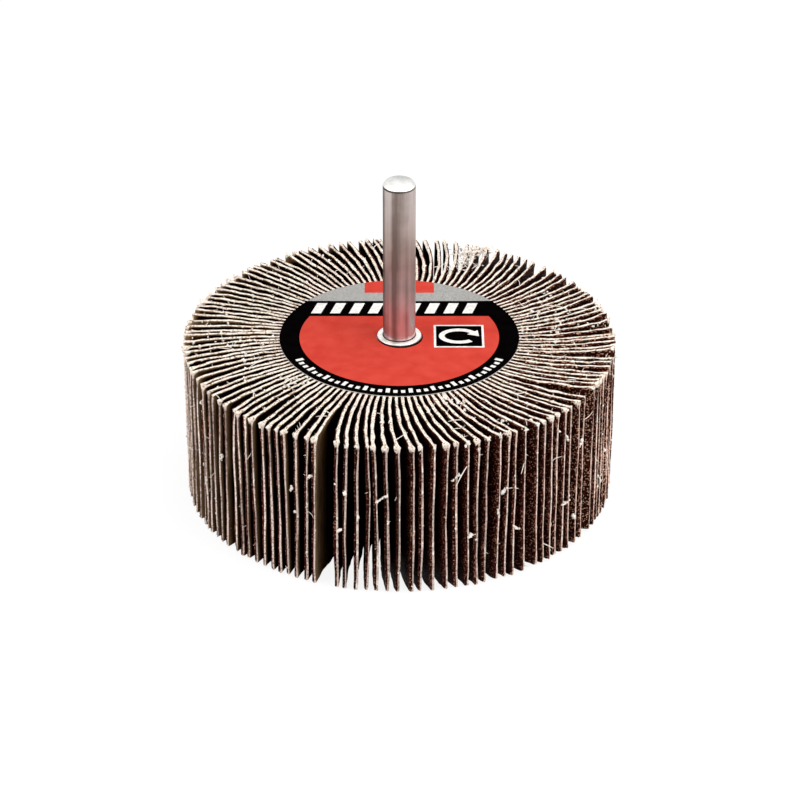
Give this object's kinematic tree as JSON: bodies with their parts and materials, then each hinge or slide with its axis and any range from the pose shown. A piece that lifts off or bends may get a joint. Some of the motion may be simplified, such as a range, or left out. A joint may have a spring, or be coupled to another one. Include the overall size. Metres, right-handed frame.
{
  "type": "mounted flap wheel",
  "caption": "Mounted flap wheel: abrasive cloth flaps stand round a cast resin core on a straight steel shank, with a printed label on the shank side.",
  "frame": {"origin": "on the wheel's axis, level with the lower edges of the flaps, on which it stands", "axes": "+Z along the shank, from the wheel towards the shank's free end; X and Y across the wheel, with +Y away from the picture's camera and +X to its right"},
  "size_m": [0.08, 0.08, 0.0622],
  "materials": {
    "spindle_steel": "satin",
    "resin": "matte",
    "disc_steel": "satin",
    "label_paper": "satin",
    "abrasive_cloth": "matte"
  },
  "bodies": {
    "root": {"spindle": "spindle_steel", "resin_core": "resin", "lower_disc": "disc_steel", "upper_disc": "disc_steel", "label": "label_paper", "flap_set_01": "abrasive_cloth", "flap_set_02": "abrasive_cloth", "flap_set_03": "abrasive_cloth", "flap_set_04": "abrasive_cloth", "flap_set_05": "abrasive_cloth", "flap_set_06": "abrasive_cloth", "flap_set_07": "abrasive_cloth", "flap_set_08": "abrasive_cloth", "flap_set_09": "abrasive_cloth", "flap_set_10": "abrasive_cloth", "flap_set_11": "abrasive_cloth", "flap_set_12": "abrasive_cloth", "flap_set_13": "abrasive_cloth", "flap_set_14": "abrasive_cloth", "flap_set_15": "abrasive_cloth", "flap_set_16": "abrasive_cloth", "flap_set_17": "abrasive_cloth", "flap_set_18": "abrasive_cloth", "flap_set_19": "abrasive_cloth", "flap_set_20": "abrasive_cloth", "flap_set_21": "abrasive_cloth", "flap_set_22": "abrasive_cloth", "flap_set_23": "abrasive_cloth", "flap_set_24": "abrasive_cloth", "flap_set_25": "abrasive_cloth", "flap_set_26": "abrasive_cloth", "flap_set_27": "abrasive_cloth", "flap_set_28": "abrasive_cloth", "flap_set_29": "abrasive_cloth", "flap_set_30": "abrasive_cloth", "flap_set_31": "abrasive_cloth", "flap_set_32": "abrasive_cloth", "flap_set_33": "abrasive_cloth", "flap_set_34": "abrasive_cloth", "flap_set_35": "abrasive_cloth", "flap_set_36": "abrasive_cloth", "flap_set_37": "abrasive_cloth", "flap_set_38": "abrasive_cloth", "flap_set_39": "abrasive_cloth", "flap_set_40": "abrasive_cloth", "flap_set_41": "abrasive_cloth", "flap_set_42": "abrasive_cloth", "flap_set_43": "abrasive_cloth"}
  },
  "joints": []
}
